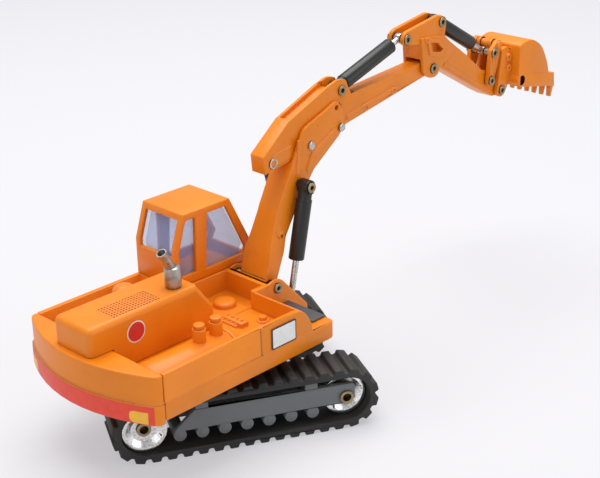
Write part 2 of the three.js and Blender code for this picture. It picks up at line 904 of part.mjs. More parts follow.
// ---------------------------------------------------------------- cylinders
// A shape made along +X from the origin, laid from one pivot towards another.
function layAlong(from, to, y, shape) {
  const angle = Math.atan2(to[1] - from[1], to[0] - from[0]);
  return shape.rotate([0, (-angle * 180) / Math.PI, 0]).translate([from[0], y, from[1]]);
}

const rodX = (radius, x0, x1, sides = 24) =>
  solid(new THREE.CylinderGeometry(
    radius,
    radius,
    x1 - x0,
    sides,
  ).rotateZ(Math.PI / 2).translate((x0 + x1) / 2, 0, 0));

function barrel(size, from, to) {
  const neck = rodX(
    size.radius - 0.25,
    0,
    size.neck + 0.1,
  ).intersect(block(-1, 9, -size.half, size.half, -5, 5));
  const eye = rodY([0, 0], size.radius - 0.25, -size.half, size.half);
  const tube = rodX(size.radius, size.neck, size.length);
  const bore = rodX(size.bore, size.neck + 1, size.length + 1);
  const shape = cut(join(neck, eye, tube), bore, rodY([0, 0], rivet.radius + run, -5, 5));
  return layAlong(from, to, size.y, shape);
}

function rod(size, from, to) {
  const length = Math.hypot(to[0] - from[0], to[1] - from[1]);
  const eye = rodY([length, 0], size.eye, -0.95, 0.95, 20);
  const shape = cut(
    join(rodX(size.rod, size.length - size.overlap, length - 0.5, 16), eye),
    rodY([length, 0], 0.6, -5, 5, 12),
  );
  return layAlong(from, to, size.y, shape);
}

for (const left of [true, false]) {
  const hand = left ? "left" : "right";
  const size = { ...boomCylinder, y: left ? boomCylinder.y : -boomCylinder.y };
  piece(arm, "boom_cylinder_" + hand, barrel(size, boomCylinderPin, boomRodPin), black);
  piece(arm, "boom_rod_" + hand, rod(size, boomCylinderPin, boomRodPin), steel);
}
piece(arm, "stick_cylinder", barrel(stickCylinder, stickCylinderPin, stickRodPin), black);
piece(arm, "stick_rod", rod(stickCylinder, stickCylinderPin, stickRodPin), steel);
piece(arm, "bucket_cylinder", barrel(bucketCylinder, bucketCylinderPin, bucketRodPin), black);
piece(arm, "bucket_rod", rod(bucketCylinder, bucketCylinderPin, bucketRodPin), steel);

// ================================================================ stick
function stickSolid() {
  const face = [
    [71.3, 86.4, 1.6],
    [72.2, 89.9, 1.6],
    [88, 92.4, 1.2],
    [91.8, 91, 1.6],
    [91, 85.6],
    [93.6, 83.3],
    [102.1, 77.3],
    [110.2, 70.8],
    [114.4, 69.6, 1.8],
    [120.8, 65.2, 2],
    [120.4, 60.7, 2],
    [115.6, 61.3],
    [111.2, 63.6],
    [89, 76.3],
    [86.6, 74.2, 1.6],
    [82.6, 74.4, 1.6],
    [80, 77.2],
    [79, 84.8],
    [75.6, 85.6],
  ];
  const cheek = [
    [80, 77],
    [79, 87.2, 1],
    [89.6, 86, 1],
    [94, 81.6, 1],
    [93.2, 79.2],
    [88.2, 76.8],
    [86.6, 74.2, 1.6],
    [82.6, 74.4, 1.6],
  ];
  const beam = join(side(face, -stick.half, stick.half), side(cheek, -stick.cheek, stick.cheek));
  const tipRoom = boom.upper + run;
  const boomSlot = block(70, stickPin[0] + 3.2, -tipRoom, tipRoom, 70, stickPin[1] + 3.4);
  const rodGap = eyeHalf + run;
  return cut(
    beam,
    boomSlot,
    block(70, 79.5, -rodGap, rodGap, 78, 95),
    block(79, 95, -rodGap, rodGap, bucketCylinderPin[1] - bucketCylinder.radius - 1.2, 95),
    rodY(stickPin, rivet.radius + run, -10, 10),
    rodY(bucketCylinderPin, rivet.radius + fit, -10, 10),
    rodY(stickRodPin, rivet.radius + fit, -10, 10),
    rodY(rockerPin, rivet.radius + fit, -10, 10),
    rodY(tipPin, rivet.radius + fit, -10, 10),
  );
}
piece(arm, "stick", stickSolid(), paint);
piece(arm, "stick_pivot_rivet", hollowRivet(stickPin, stick.cheek + fit), brass);
piece(arm, "bucket_cylinder_rivet", hollowRivet(bucketCylinderPin, stick.half + fit), brass);
piece(arm, "rocker_rivet", hollowRivet(rockerPin, rocker.outer + fit), brass);
piece(arm, "bucket_pivot_rivet", hollowRivet(tipPin, bucketEar.outer + fit), steel);

// Half rivets stand for the pin of an eye that is free to shift in its gap.
function halfRivet(at, inner, outer, left) {
  const shank = rodY(at, rivet.radius, ...mirrorY(inner, outer + fit + 0.1, left));
  const flange = rodY(at, rivet.flange, ...mirrorY(outer + fit, outer + fit + rivet.flangeThick, left));
  return cut(join(shank, flange), rodY(at, rivet.bore, -20, 20));
}
for (const left of [true, false]) {
  const hand = left ? "left" : "right";
  piece(arm, "stick_rod_rivet_" + hand, halfRivet(stickRodPin, eyeHalf + run, stick.half, left), brass);
  piece(arm, "bucket_rod_rivet_" + hand, halfRivet(bucketRodPin, eyeHalf, rocker.outer, left), brass);
}

// ================================================================ bucket linkage and bucket
function rockerSolid() {
  const plates = [false, true].map((left) =>
    side(
      around([
        [...rockerPin, rocker.end],
        [...bucketRodPin, rocker.end],
        [...linkPin, rocker.end],
      ]),
      ...mirrorY(rocker.inner, rocker.outer, left),
    ),
  );
  const tube = rodY(
    linkPin,
    rocker.tube,
    -rocker.outer - rocker.tubeProud,
    rocker.outer + rocker.tubeProud,
  );
  return cut(
    join(...plates, tube),
    rodY(rockerPin, rivet.radius + run, -10, 10),
    ...[false, true].map((left) => rodY(bucketRodPin, rivet.radius + fit, ...mirrorY(2, 10, left))),
  );
}
piece(arm, "rocker", rockerSolid(), paint);

function linkSolid() {
  const arms = [false, true].map((left) =>
    side(
      around([[...linkPin, link.end], [...bucketLinkPin, link.farEnd]]),
      ...mirrorY(link.inner, link.outer, left),
    ),
  );
  const bridge = rodY(bucketLinkPin, link.farEnd, -link.outer, link.outer);
  return cut(join(...arms, bridge), rodY(linkPin, rocker.tube + run, -10, 10));
}
piece(arm, "bucket_link", linkSolid(), paint);

function bucketSolid() {
  const { half, wall, back, mouth, bandProud, tooth, toothRoot } = bucket;
  const face = [
    [back, mouth, 1],
    [back, 77, 1],
    [128.6, 78.3, 3],
    [134.8, 74.8, 3],
    [138.6, 68, 3],
    [139.3, 64.6],
    [141.9, 64.4],
    [142.5, toothRoot + 0.2],
  ];
  const room = [
    [back + wall, 50],
    [back + wall, 77 - wall, 1],
    [128.4, 77.2, 3],
    [134.1, 74.1, 3],
    [137.7, 67.8, 3],
    [138.6, 63.8],
    [141, 63.4],
    [141.6, 50],
  ];
  const band = [[back, mouth], [back, 67.4], [141.9, 64.4], [142.5, toothRoot + 0.2]];
  const bowl = join(side(face, -half, half), side(band, -half - bandProud, half + bandProud));
  const shell = cut(bowl, side(room, -half + wall, half - wall));
  const ears = [false, true].map((left) =>
    side(
      around([
        [...tipPin, 2.2],
        [119.9, 74.6, 2],
        [back - 1, 74.4, 1.4],
        [back - 1, 66, 1.2],
      ]),
      ...mirrorY(bucketEar.inner, bucketEar.outer, left),
    ),
  );
  const bosses = [bucketLinkPin, bucketEar.spareHole].flatMap((at) =>
    [false, true].map((left) =>
      cut(
        rodY(at, 1.1, ...mirrorY(bucketEar.outer - 0.2, bucketEar.outer + bucketEar.boss, left), 14),
        rodY(at, 0.45, ...mirrorY(bucketEar.outer, bucketEar.outer + 2, left), 8),
      ),
    ),
  );
  const toothSpan = 2 * half - tooth;
  const teeth = Array.from({ length: bucket.teeth }, (_, i) => {
    const y = toothSpan * (i / (bucket.teeth - 1) - 0.5);
    const tip = toothRoot - bucket.toothDrop;
    const profile = [
      [141.2, 60.5],
      [142.3, 60.5],
      [142.4, toothRoot],
      [141.4, tip],
      [140.8, tip],
      [140.6, toothRoot],
    ];
    return side(profile, y - tooth / 2, y + tooth / 2);
  });
  return cut(join(shell, ...ears, ...bosses, ...teeth), rodY(tipPin, rivet.radius + run, -10, 10));
}
piece(arm, "bucket", bucketSolid(), paint);

// ================================================================ assembly
const layout = new THREE.Group();
layout.add(undercarriage, superstructure, arm);
const root = new THREE.Group();
root.add(layout);
root.updateMatrixWorld(true);
const bounds = new THREE.Box3().setFromObject(root, true);
layout.position.set(-(bounds.min.x + bounds.max.x) / 2, -(bounds.min.y + bounds.max.y) / 2, -bounds.min.z);

export default root;
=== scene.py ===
import json
import math

import bpy
from mathutils import Matrix, Vector

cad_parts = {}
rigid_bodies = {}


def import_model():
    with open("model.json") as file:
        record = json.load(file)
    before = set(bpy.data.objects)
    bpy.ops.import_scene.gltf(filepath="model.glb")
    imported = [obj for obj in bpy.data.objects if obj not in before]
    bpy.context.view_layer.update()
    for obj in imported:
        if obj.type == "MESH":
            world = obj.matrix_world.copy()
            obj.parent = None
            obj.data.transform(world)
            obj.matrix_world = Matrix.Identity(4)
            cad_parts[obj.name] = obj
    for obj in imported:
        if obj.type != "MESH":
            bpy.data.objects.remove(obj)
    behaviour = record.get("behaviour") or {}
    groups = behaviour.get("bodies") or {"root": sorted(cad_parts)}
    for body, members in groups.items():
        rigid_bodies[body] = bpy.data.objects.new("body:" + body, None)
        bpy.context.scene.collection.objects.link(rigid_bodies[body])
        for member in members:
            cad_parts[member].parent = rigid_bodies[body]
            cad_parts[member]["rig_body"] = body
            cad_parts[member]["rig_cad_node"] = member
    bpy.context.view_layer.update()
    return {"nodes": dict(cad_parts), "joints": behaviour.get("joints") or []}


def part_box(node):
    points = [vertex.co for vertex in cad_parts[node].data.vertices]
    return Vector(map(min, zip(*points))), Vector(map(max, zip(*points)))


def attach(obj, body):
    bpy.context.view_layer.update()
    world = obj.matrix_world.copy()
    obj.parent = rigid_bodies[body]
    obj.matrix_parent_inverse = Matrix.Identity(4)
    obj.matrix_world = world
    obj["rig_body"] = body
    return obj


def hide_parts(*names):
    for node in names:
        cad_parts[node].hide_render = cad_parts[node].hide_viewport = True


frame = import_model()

# ---------------------------------------------------------------- table, backdrop and lamps
# A pale matt table that runs on into the backdrop, lit evenly from all round by a white room.
# One large soft lamp hangs over the model. Two weaker ones stand at its right side and behind it.
MM = 0.001
joint = {j["name"]: j for j in frame["joints"]}
slewing_axis = Vector(joint["slew"]["pos_m"]) * Vector((1, 1, 0))


def shader_nodes(name):
    """A new material with its Principled shader, and the tree's own maker of nodes."""
    material = bpy.data.materials.new(name)
    material.use_nodes = True
    tree = material.node_tree

    def add(kind, **values):
        node = tree.nodes.new(kind)
        for key, value in values.items():
            if hasattr(node, key):
                setattr(node, key, value)
            else:
                node.inputs[key.replace("_", " ")].default_value = value
        return node

    return material, tree, tree.nodes["Principled BSDF"], add


def seen_directly(tree, add):
    """1 for what the camera sees, straight, mirrored or through glass, and 0 for light on the model."""
    path = add("ShaderNodeLightPath")
    seen = add("ShaderNodeMath", operation="MAXIMUM")
    tree.links.new(path.outputs["Is Camera Ray"], seen.inputs[0])
    tree.links.new(path.outputs["Is Glossy Ray"], seen.inputs[1])
    through = add("ShaderNodeMath", operation="MAXIMUM")
    tree.links.new(seen.outputs[0], through.inputs[0])
    tree.links.new(path.outputs["Is Transmission Ray"], through.inputs[1])
    return through.outputs[0]


backdrop_white = (0.875, 0.865, 0.905, 1)
bpy.ops.mesh.primitive_plane_add(size=6, location=(0, 0, 0))
table = bpy.context.object
table.name = "table"
material, tree, shader, add = shader_nodes("table_paper")
shader.inputs["Base Color"].default_value = (0.66, 0.66, 0.68, 1)
shader.inputs["Roughness"].default_value = 0.9
glow = add("ShaderNodeEmission", Color=backdrop_white)
blend = add("ShaderNodeMixShader")
share = add("ShaderNodeMath", operation="MULTIPLY")
share.inputs[1].default_value = 0.5
tree.links.new(seen_directly(tree, add), share.inputs[0])
tree.links.new(share.outputs[0], blend.inputs[0])
tree.links.new(shader.outputs[0], blend.inputs[1])
tree.links.new(glow.outputs[0], blend.inputs[2])
tree.links.new(blend.outputs[0], tree.nodes["Material Output"].inputs[0])
table.data.materials.append(material)

world = bpy.data.worlds.new("white_room")
bpy.context.scene.world = world
world.use_nodes = True
tree = world.node_tree
room = tree.nodes["Background"]
room.inputs["Color"].default_value = (0.93, 0.95, 1, 1)
room.inputs["Strength"].default_value = 0.57
wall = tree.nodes.new("ShaderNodeBackground")
wall.inputs["Color"].default_value = backdrop_white
blend = tree.nodes.new("ShaderNodeMixShader")
path = tree.nodes.new("ShaderNodeLightPath")
tree.links.new(path.outputs["Is Camera Ray"], blend.inputs[0])
tree.links.new(room.outputs[0], blend.inputs[1])
tree.links.new(wall.outputs[0], blend.inputs[2])
tree.links.new(blend.outputs[0], tree.nodes["World Output"].inputs[0])


def soft_lamp(name, place, size, watts, colour=(1, 1, 1)):
    """A square soft box that faces the model."""
    bpy.ops.object.light_add(type="AREA", location=place)
    lamp = bpy.context.object
    lamp.name = name
    lamp.data.size = size
    lamp.data.energy = watts
    lamp.data.color = colour
    lamp.rotation_euler = (Vector(place) - Vector((0, 0, 0.03))).to_track_quat("Z", "Y").to_euler()


soft_lamp("lamp_above", (0.05, 0.12, 0.75), 0.7, 7.0, (1, 0.98, 0.95))
soft_lamp("lamp_right", (0.25, -0.75, 0.32), 0.5, 1.1)
soft_lamp("lamp_behind", (-0.75, -0.15, 0.30), 0.5, 0.6)

bpy.ops.object.camera_add()
camera = bpy.context.object
camera_azimuth, camera_elevation, camera_roll = (math.radians(a) for a in (-45.68, 23.03, -1.04))
pitch = Matrix.Rotation(math.pi / 2 - camera_elevation, 4, "X")
turn = Matrix.Rotation(camera_azimuth, 4, "Z") @ pitch
roll = Matrix.Rotation(camera_roll, 4, "Z")
camera_place = slewing_axis + Vector((-216.9, -242.0, 185.6)) * MM
camera.matrix_world = Matrix.Translation(camera_place) @ turn @ roll
camera.data.lens = 80.13
camera.data.sensor_width = 36
camera.data.clip_start = 0.01
bpy.context.scene.camera = camera
bpy.context.scene.view_settings.view_transform = "Standard"

# ---------------------------------------------------------------- undercarriage castings
# The carbody and the two track frames are zinc castings in satin grey enamel, pressed together.
# The track rollers are cast on the frames. Enamel softens every edge of a casting.


def alone(thing):
    """Only this object is selected, and it is the active one."""
    bpy.ops.object.select_all(action="DESELECT")
    thing.select_set(True)
    bpy.context.view_layer.objects.active = thing


def cad_copy(node, name, merge_flats=False):
    """A welded copy of a CAD solid, without its finish, and the body that the solid rides on."""
    alone(frame["nodes"][node])
    bpy.ops.object.duplicate()
    piece = bpy.context.object
    piece.name = name
    body = piece["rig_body"]
    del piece["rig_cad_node"]
    piece.parent = None
    piece.data.materials.clear()
    bpy.ops.object.mode_set(mode="EDIT")
    bpy.ops.mesh.select_all(action="SELECT")
    bpy.ops.mesh.remove_doubles(threshold=1e-6)
    if merge_flats:
        bpy.ops.mesh.dissolve_limited(angle_limit=math.radians(0.5))
    bpy.ops.object.mode_set(mode="OBJECT")
    return piece, body


def smooth_copy(node, name, edge_radius, segments=2, sharp=32, merge_flats=True):
    """A copy of a CAD solid, its edges rounded, that stands for the solid.

    Flats with windows stay in triangles, which is what merge_flats=False is for.
    """
    piece, body = cad_copy(node, name, merge_flats)
    if edge_radius:
        bevel = piece.modifiers.new("rounding", "BEVEL")
        bevel.width = edge_radius * MM
        bevel.segments = segments
        bevel.limit_method = "ANGLE"
        bevel.angle_limit = math.radians(sharp)
        bevel.use_clamp_overlap = False
        bevel.miter_outer = "MITER_ARC"
        bpy.ops.object.modifier_apply(modifier="rounding")
    bpy.ops.object.shade_smooth_by_angle(angle=math.radians(sharp))
    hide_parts(node)
    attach(piece, body)
    return piece


def enamel(name, colour, roughness, edge_highlight, peel=0.1, dirt=0.35):
    """Stoved enamel: faint mottling, orange peel, dust in specks, and a painted highlight: a paler colour
    along the edges.
    """
    material, tree, shader, add = shader_nodes(name)
    link = tree.links.new
    place = add("ShaderNodeTexCoord")
    mottle = add("ShaderNodeTexNoise", Scale=70.0, Detail=3.0)
    link(place.outputs["Object"], mottle.inputs["Vector"])
    paint = add("ShaderNodeValToRGB")
    paint.color_ramp.elements[0].position = 0.3
    paint.color_ramp.elements[0].color = (*[c * 0.93 for c in colour], 1)
    paint.color_ramp.elements[1].position = 0.7
    paint.color_ramp.elements[1].color = (*[min(c * 1.06, 1) for c in colour], 1)
    link(mottle.outputs["Fac"], paint.inputs["Fac"])

    # Painted highlight: near the edges the colour is mixed towards a paler one, standing in for light caught
    # on the rounded enamel.
    rounded = add("ShaderNodeBevel", samples=6, Radius=0.32 * MM)
    flat = add("ShaderNodeNewGeometry")
    facing = add("ShaderNodeVectorMath", operation="DOT_PRODUCT")
    link(rounded.outputs["Normal"], facing.inputs[0])
    link(flat.outputs["Normal"], facing.inputs[1])
    near_edge = add("ShaderNodeMapRange")
    near_edge.inputs["From Min"].default_value = 0.995
    near_edge.inputs["From Max"].default_value = 0.86
    near_edge.inputs["To Max"].default_value = edge_highlight
    link(facing.outputs["Value"], near_edge.inputs["Value"])
    # The paler colour of the painted edge highlight.
    painted_highlight = add("ShaderNodeMix", data_type="RGBA")
    painted_highlight.inputs[7].default_value = (*[min(c * 1.05 + 0.16, 1) for c in colour], 1)
    link(near_edge.outputs[0], painted_highlight.inputs["Factor"])
    link(paint.outputs[0], painted_highlight.inputs[6])

    specks = add("ShaderNodeTexNoise", Scale=900.0, Detail=2.0)
    link(place.outputs["Object"], specks.inputs["Vector"])
    speck = add("ShaderNodeMapRange")
    speck.inputs["From Min"].default_value = 0.70
    speck.inputs["From Max"].default_value = 0.78
    speck.inputs["To Max"].default_value = dirt
    link(specks.outputs["Fac"], speck.inputs["Value"])
    dusty = add("ShaderNodeMix", data_type="RGBA")
    dusty.inputs[7].default_value = (*[c * 0.35 for c in colour], 1)
    link(speck.outputs[0], dusty.inputs["Factor"])
    link(painted_highlight.outputs[2], dusty.inputs[6])
    link(dusty.outputs[2], shader.inputs["Base Color"])

    gloss = add("ShaderNodeMapRange")
    gloss.inputs["To Min"].default_value = roughness - 0.07
    gloss.inputs["To Max"].default_value = roughness + 0.09
    link(mottle.outputs["Fac"], gloss.inputs["Value"])
    link(gloss.outputs[0], shader.inputs["Roughness"])
    skin = add("ShaderNodeTexNoise", Scale=1400.0, Detail=2.0)
    link(place.outputs["Object"], skin.inputs["Vector"])
    bump = add("ShaderNodeBump", Strength=peel, Distance=0.05 * MM)
    link(skin.outputs["Fac"], bump.inputs["Height"])
    link(rounded.outputs["Normal"], bump.inputs["Normal"])
    link(bump.outputs[0], shader.inputs["Normal"])
    return material


def dress(piece, material):
    piece.data.materials.append(material)


# The fourth argument of enamel() sets how strong its painted edge highlight is.
grey = enamel("grey_enamel", (0.135, 0.145, 0.150), 0.42, 0.35)
dress(smooth_copy("carbody", "carbody_casting", 0.4), grey)
for hand in ("left", "right"):
    dress(smooth_copy("track_frame_" + hand, "frame_casting_" + hand, 0.15), grey)

# ---------------------------------------------------------------- track belts
# Each track is one endless belt of matt black rubber, moulded with straight ribs across its full width.
# It is stretched over the two wheels by hand and grips them by its tension alone.


def moulded_rubber():
    material, tree, shader, add = shader_nodes("moulded_rubber")
    link = tree.links.new
    place = add("ShaderNodeTexCoord")
    grain = add("ShaderNodeTexNoise", Scale=1100.0, Detail=4.0)
    link(place.outputs["Object"], grain.inputs["Vector"])
    bloom = add("ShaderNodeTexNoise", Scale=45.0, Detail=3.0)
    link(place.outputs["Object"], bloom.inputs["Vector"])
    tone = add("ShaderNodeValToRGB")
    tone.color_ramp.elements[0].color = (0.011, 0.010, 0.009, 1)
    tone.color_ramp.elements[0].position = 0.3
    tone.color_ramp.elements[1].color = (0.026, 0.024, 0.021, 1)
    tone.color_ramp.elements[1].position = 0.75
    link(bloom.outputs["Fac"], tone.inputs["Fac"])
    link(tone.outputs[0], shader.inputs["Base Color"])
    shader.inputs["Roughness"].default_value = 0.62
    bump = add("ShaderNodeBump", Strength=0.35, Distance=0.06 * MM)
    link(grain.outputs["Fac"], bump.inputs["Height"])
    link(bump.outputs[0], shader.inputs["Normal"])
    return material


rubber = moulded_rubber()
for hand in ("left", "right"):
    dress(smooth_copy("track_belt_" + hand, "rubber_belt_" + hand, 0.3, segments=2), rubber)

# ---------------------------------------------------------------- wheels, axles and rivets
# The four wheels are dished discs turned from bright aluminium; each runs on a hollow brass axle.
# Everything else that turns is held by hollow brass rivets, rolled over at both ends.


def bare_metal(name, colour, roughness, grain=0.1, scale=600.0):
    """Uncoated metal: fine pits, and patches that are duller or brighter than the rest."""
    material, tree, shader, add = shader_nodes(name)
    link = tree.links.new
    shader.inputs["Metallic"].default_value = 1.0
    place = add("ShaderNodeTexCoord")
    noise = add("ShaderNodeTexNoise", Scale=scale, Detail=4.0)
    link(place.outputs["Object"], noise.inputs["Vector"])
    tone = add("ShaderNodeValToRGB")
    tone.color_ramp.elements[0].color = (*[c * 0.7 for c in colour], 1)
    tone.color_ramp.elements[0].position = 0.35
    tone.color_ramp.elements[1].color = (*[min(c * 1.15, 1) for c in colour], 1)
    tone.color_ramp.elements[1].position = 0.65
    link(noise.outputs["Fac"], tone.inputs["Fac"])
    link(tone.outputs[0], shader.inputs["Base Color"])
    gloss = add("ShaderNodeMapRange")
    gloss.inputs["To Min"].default_value = roughness * 0.7
    gloss.inputs["To Max"].default_value = roughness * 1.3
    link(noise.outputs["Fac"], gloss.inputs["Value"])
    link(gloss.outputs[0], shader.inputs["Roughness"])
    bump = add("ShaderNodeBump", Strength=grain, Distance=0.05 * MM)
    link(noise.outputs["Fac"], bump.inputs["Height"])
    link(bump.outputs[0], shader.inputs["Normal"])
    return material


alloy = bare_metal("turned_alloy", (0.86, 0.85, 0.83), 0.2, 0.03, 2200.0)
brass = bare_metal("dull_brass", (0.36, 0.29, 0.17), 0.36)
for end in ("rear", "front"):
    for hand in ("left", "right"):
        wheel = smooth_copy(f"{end}_wheel_{hand}", f"turned_wheel_{end}_{hand}", 0.15, segments=3)
        dress(wheel, alloy)
        dress(smooth_copy(f"{end}_axle_{hand}", f"rolled_axle_{end}_{hand}", 0.12), brass)
for node in [n for n in frame["nodes"] if n.endswith("rivet") or "_rivet_" in n]:
    dress(smooth_copy(node, "rolled_" + node, 0.12), brass)

# ---------------------------------------------------------------- deck
# The deck is one zinc casting in orange enamel: a tub with a nose between two ears for the boom's foot.
# It is riveted to the carbody, so it can be slewed by hand.
orange = enamel("orange_enamel", (0.765, 0.212, 0.006), 0.34, 0.55)
orange.node_tree.nodes["Principled BSDF"].inputs["Specular IOR Level"].default_value = 0.35
dress(smooth_copy("deck", "deck_casting", 0.25, segments=3, merge_flats=False), orange)

# ---------------------------------------------------------------- counterweight
# A bowed casting in the same enamel closes the back of the deck. It stands a little below the deck's side.
# A red band with a yellow lamp near each end is printed round its lower half.
def at(x, y, z):
    """A place given in millimetres from the slewing axis, where it meets the ground."""
    return slewing_axis + Vector((x, y, z)) * MM


def from_axis(place):
    """The reverse of at(): millimetres from the slewing axis."""
    return (place - slewing_axis) / MM


def keep(piece, place, outward, fill=False):
    """Cuts the active piece with a plane, and drops what lies on the side that the arrow points to."""
    bpy.ops.object.mode_set(mode="EDIT")
    bpy.ops.mesh.select_all(action="SELECT")
    arrow = Vector(outward).normalized()
    bpy.ops.mesh.bisect(plane_co=place, plane_no=arrow, clear_outer=True, use_fill=fill)
    bpy.ops.object.mode_set(mode="OBJECT")


def printed_patch(node, name, low, high, proud, facing):
    """The skin of a CAD solid between two corners, where it faces one way, lifted clear of the casting."""
    patch, body = cad_copy(node, name)
    bpy.ops.object.shade_smooth_by_angle(angle=math.radians(40))
    for corner, way in ((low, -1), (high, 1)):
        for side in range(3):
            if corner[side] is not None:
                place = at(*[0 if c is None else c for c in corner])
                outward = [way if k == side else 0 for k in range(3)]
                keep(patch, place, outward)
    for face in patch.data.polygons:
        face.select = face.normal.dot(Vector(facing)) < 0.3 or abs(face.normal.z) > 0.5
    bpy.ops.object.mode_set(mode="EDIT")
    bpy.ops.mesh.select_mode(type="FACE")
    bpy.ops.mesh.delete(type="FACE")
    bpy.ops.mesh.select_all(action="SELECT")
    bpy.ops.transform.shrink_fatten(value=proud * MM)
    bpy.ops.object.mode_set(mode="OBJECT")
    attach(patch, body)
    return patch


def printed_ink(name, colour):
    """Opaque ink, a little uneven."""
    material, tree, shader, add = shader_nodes(name)
    link = tree.links.new
    place = add("ShaderNodeTexCoord")
    noise = add("ShaderNodeTexNoise", Scale=500.0, Detail=3.0)
    link(place.outputs["Object"], noise.inputs["Vector"])
    tone = add("ShaderNodeValToRGB")
    tone.color_ramp.elements[0].color = (*[c * 0.9 for c in colour], 1)
    tone.color_ramp.elements[0].position = 0.3
    tone.color_ramp.elements[1].color = (*colour, 1)
    tone.color_ramp.elements[1].position = 0.6
    link(noise.outputs["Fac"], tone.inputs["Fac"])
    link(tone.outputs[0], shader.inputs["Base Color"])
    shader.inputs["Roughness"].default_value = 0.42
    shader.inputs["Specular IOR Level"].default_value = 0.35
    return material


backwards = (-1, 0, 0)
band = printed_patch("counterweight", "red_band", (None, -24.4, 20.75), (None, 24.4, 25.7), 0.04, backwards)
dress(band, printed_ink("red_ink", (0.80, 0.060, 0.030)))
yellow_ink = printed_ink("yellow_ink", (0.88, 0.47, 0.045))
lamp_foot, lamp_top = 20.95, 24.1
for hand, low, high, inner in (("right", -22.9, -18.3, -18.3), ("left", 18.3, 22.9, 18.3)):
    corners = (None, low, lamp_foot), (None, high, lamp_top)
    lamp = printed_patch("counterweight", "rear_lamp_" + hand, *corners, 0.07, backwards)
    bpy.ops.object.mode_set(mode="EDIT")
    bpy.ops.mesh.select_all(action="SELECT")
    bpy.ops.mesh.dissolve_limited(angle_limit=math.radians(1))
    bpy.ops.mesh.select_mode(type="VERT")
    bpy.ops.mesh.select_all(action="DESELECT")
    bpy.ops.object.mode_set(mode="OBJECT")
    for corner in lamp.data.vertices:
        place = from_axis(corner.co)
        corner.select = abs(place.y - inner) < 0.1 and not lamp_foot + 0.25 <= place.z <= lamp_top - 0.2
    bpy.ops.object.mode_set(mode="EDIT")
    bpy.ops.mesh.bevel(offset=1.2 * MM, segments=5, affect="VERTICES", clamp_overlap=True)
    bpy.ops.object.mode_set(mode="OBJECT")
    dress(lamp, yellow_ink)
counterweight = smooth_copy("counterweight", "counterweight_casting", 0.45, segments=4, sharp=24)
dress(counterweight, orange)

# ---------------------------------------------------------------- engine hood
# The hood is a casting of its own, with soft edges, in the deck's orange enamel. It laps over the
# counterweight and slopes down at its front. A field of shallow square holes stands for the air grille.


def block(name, low, high):
    """A cuboid between two corners, each in millimetres from the slewing axis."""
    bpy.ops.object.select_all(action="DESELECT")
    bpy.ops.mesh.primitive_cube_add(size=1, location=(0, 0, 0))
    piece = bpy.context.object
    piece.name = name
    low, high = at(*low), at(*high)
    bpy.ops.object.mode_set(mode="EDIT")
    bpy.ops.mesh.select_all(action="SELECT")
    bpy.ops.transform.resize(value=high - low)
    bpy.ops.transform.translate(value=(low + high) / 2)
    bpy.ops.object.mode_set(mode="OBJECT")
    return piece


def round_edges(piece, radius, segments, wanted):
    """Rounds the edges whose middle and direction pass a test, both from the slewing axis."""
    alone(piece)
    bpy.ops.object.mode_set(mode="EDIT")
    bpy.ops.mesh.select_mode(type="EDGE")
    bpy.ops.mesh.select_all(action="DESELECT")
    bpy.ops.object.mode_set(mode="OBJECT")
    for edge in piece.data.edges:
        a, b = (piece.data.vertices[v].co for v in edge.vertices)
        edge.select = wanted(from_axis((a + b) / 2), (b - a).normalized())
    bpy.ops.object.mode_set(mode="EDIT")
    bpy.ops.mesh.bevel(offset=radius * MM, segments=segments, clamp_overlap=True)
    bpy.ops.object.mode_set(mode="OBJECT")


def carve(piece, cutter, operation="DIFFERENCE"):
    """Takes one solid out of another, and throws the cutter away."""
    alone(piece)
    boolean = piece.modifiers.new("carve", "BOOLEAN")
    boolean.operation = operation
    boolean.object = cutter
    boolean.use_self = True
    bpy.ops.object.modifier_apply(modifier="carve")
    bpy.data.objects.remove(cutter)


def repeat(piece, count, step):
    """A row of copies in the same mesh."""
    alone(piece)
    row = piece.modifiers.new("row", "ARRAY")
    row.count = count
    row.use_relative_offset = False
    row.use_constant_offset = True
    row.constant_offset_displace = Vector(step) * MM
    bpy.ops.object.modifier_apply(modifier="row")


def finish(piece, body, material, smooth=35, nodes=()):
    """Normals outwards, smooth shading between near-level faces, and the frame's own entries."""
    alone(piece)
    bpy.ops.object.mode_set(mode="EDIT")
    bpy.ops.mesh.select_all(action="SELECT")
    bpy.ops.mesh.normals_make_consistent(inside=False)
    bpy.ops.object.mode_set(mode="OBJECT")
    bpy.ops.object.shade_smooth_by_angle(angle=math.radians(smooth))
    piece.data.materials.clear()
    dress(piece, material)
    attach(piece, body)
    if nodes:
        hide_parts(*nodes)


hood_low, hood_high = (from_axis(corner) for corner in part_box("engine_hood"))
weight_high = from_axis(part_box("counterweight")[1])
slope_run, slope_drop = 4.8, 6.5
hood = block("hood_casting", hood_low, hood_high)
alone(hood)
keep(hood, at(hood_high.x, 0, hood_high.z - slope_drop), (slope_drop, 0, slope_run), fill=True)


def along(x=0, y=0, z=0):
    """A test for an edge's direction."""
    return lambda way: abs(way.dot(Vector((x, y, z)))) > 0.99


slope_foot = hood_high.z - slope_drop
upright, crosswise = along(z=1), along(y=1)


def soft_hood_edge(middle, way):
    """The hood's rear corners and rear top edge, and its long top edges down to the foot of the slope."""
    rear = middle.x < hood_low.x + 0.1 and (upright(way) or crosswise(way) and middle.z > hood_high.z - 0.1)
    return rear or (middle.z > slope_foot + 0.1 and not crosswise(way) and not upright(way))


